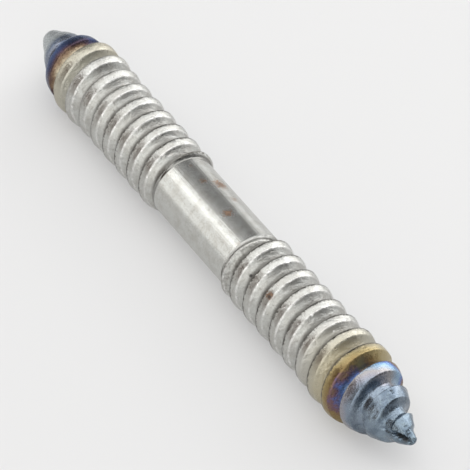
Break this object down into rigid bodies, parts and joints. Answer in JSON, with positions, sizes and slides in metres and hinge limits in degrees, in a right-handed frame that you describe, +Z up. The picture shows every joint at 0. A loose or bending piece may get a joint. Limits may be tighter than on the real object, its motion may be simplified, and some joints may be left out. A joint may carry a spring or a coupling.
{
  "type": "dowel screw",
  "caption": "Double-ended wood screw: a plain shank between two right-hand rolled threads that each run out into a heat-tinted point, for joining two wooden parts out of sight",
  "frame": {"origin": "middle of the screw's length, straight below its axis, on the surface that it lies on", "axes": "+X along the screw's axis to the end with the split tip, +Z up from the surface, +Y across"},
  "size_m": [0.07, 0.0084, 0.0084],
  "materials": {
    "steel": "bright rolled steel, blued and straw-tinted at both points, with a few rust spots"
  },
  "bodies": {
    "root": {"screw": "steel"}
  },
  "joints": []
}
